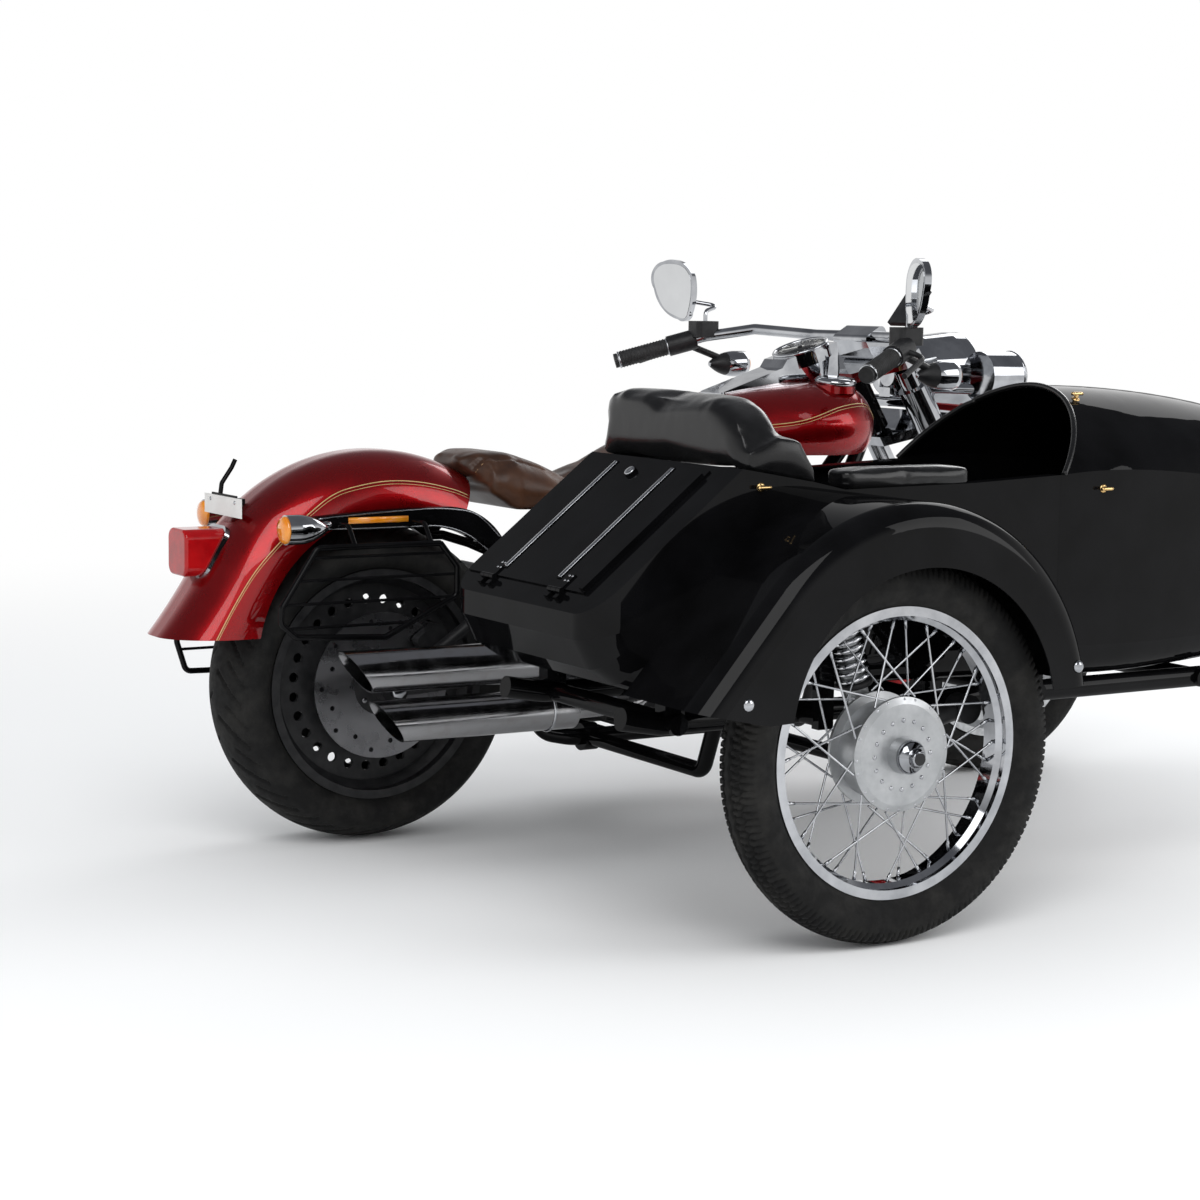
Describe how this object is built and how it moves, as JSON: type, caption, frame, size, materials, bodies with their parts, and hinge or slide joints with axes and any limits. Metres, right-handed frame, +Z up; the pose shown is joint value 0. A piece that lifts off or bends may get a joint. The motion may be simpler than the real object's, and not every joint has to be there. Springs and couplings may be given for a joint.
{
  "type": "sidecar motorcycle",
  "caption": "Cruiser motorcycle with a single-seat sidecar: wheels roll, the handlebar steers, the sidecar's boot lid opens and the side stand swings down.",
  "frame": {"origin": "on the floor under the middle of the whole vehicle", "axes": "+X forward, +Y to the rider's left, +Z up"},
  "size_m": [2.4166, 1.8424, 1.1928],
  "materials": {
    "candy_red": "gloss",
    "black_paint": "gloss",
    "black_satin": "satin",
    "chrome": "polished",
    "alloy": "satin",
    "steel": "brushed",
    "tyre": "matt",
    "rubber": "matt",
    "black_leather": "soft sheen",
    "brown_leather": "worn",
    "red_lens": "clear gloss",
    "glass": "clear",
    "plate_white": "satin"
  },
  "bodies": {
    "root": {"bike_frame": "black_paint", "swingarm": "black_satin", "engine_case": "black_satin", "drive_belt": "rubber", "engine_cylinders": "black_satin", "rocker_covers": "chrome", "engine_covers": "chrome", "fuel_tank": "candy_red", "tank_console": "chrome", "rider_seat": "brown_leather", "rear_fender": "candy_red", "fender_struts": "black_paint", "tail_lamp": "chrome", "tail_lens": "red_lens", "rear_indicators": "chrome", "number_plate": "plate_white", "wheel_guards": "black_paint", "mufflers": "chrome", "header_pipes": "chrome", "footboards": "rubber", "sidecar_body": "black_paint", "sidecar_seat": "black_leather", "sidecar_squab": "black_leather", "sidecar_backrest": "black_leather", "sidecar_armrest": "black_leather", "sidecar_fender": "black_paint", "sidecar_chassis": "black_paint", "sidecar_swingarm": "black_satin", "sidecar_shock": "alloy", "sidecar_struts": "black_paint"},
    "steering": {"front_fork": "chrome", "front_fender": "candy_red", "handlebar": "chrome", "handgrips": "rubber", "bar_controls": "black_satin", "mirrors": "chrome", "headlamps": "chrome", "lamp_glasses": "glass"},
    "front_wheel": {"front_tyre": "tyre", "front_wheel_disc": "alloy", "front_brake_disc": "steel"},
    "rear_wheel": {"rear_tyre": "tyre", "rear_wheel_disc": "black_satin", "rear_brake_disc": "steel"},
    "sidecar_wheel": {"sidecar_tyre": "tyre", "sidecar_rim": "chrome", "sidecar_hub": "alloy", "sidecar_spokes": "chrome"},
    "boot_lid": {"boot_lid": "black_paint"},
    "side_stand": {"side_stand": "black_satin"}
  },
  "joints": [
    {"name": "steer", "type": "hinge", "parent": "root", "child": "steering", "pos_m": [0.51926, 0.4005, 0.867], "axis": [-0.515, 0, 0.8572], "range_deg": [-30, 30]},
    {"name": "front_spin", "type": "hinge", "parent": "steering", "child": "front_wheel", "pos_m": [0.889, 0.4005, 0.319], "axis": [0, 1, 0], "continuous": true},
    {"name": "rear_spin", "type": "hinge", "parent": "root", "child": "rear_wheel", "pos_m": [-0.746, 0.4005, 0.322], "axis": [0, 1, 0], "continuous": true},
    {"name": "sidecar_spin", "type": "hinge", "parent": "root", "child": "sidecar_wheel", "pos_m": [-0.333, -0.8175, 0.336], "axis": [0, 1, 0], "continuous": true},
    {"name": "boot_hinge", "type": "hinge", "parent": "root", "child": "boot_lid", "pos_m": [-0.83244, -0.4025, 0.61046], "axis": [0, -1, 0], "range_deg": [0, 105]},
    {"name": "stand_pivot", "type": "hinge", "parent": "root", "child": "side_stand", "pos_m": [-0.186, 0.5705, 0.185], "axis": [0, -1, 0], "range_deg": [0, 100]}
  ]
}
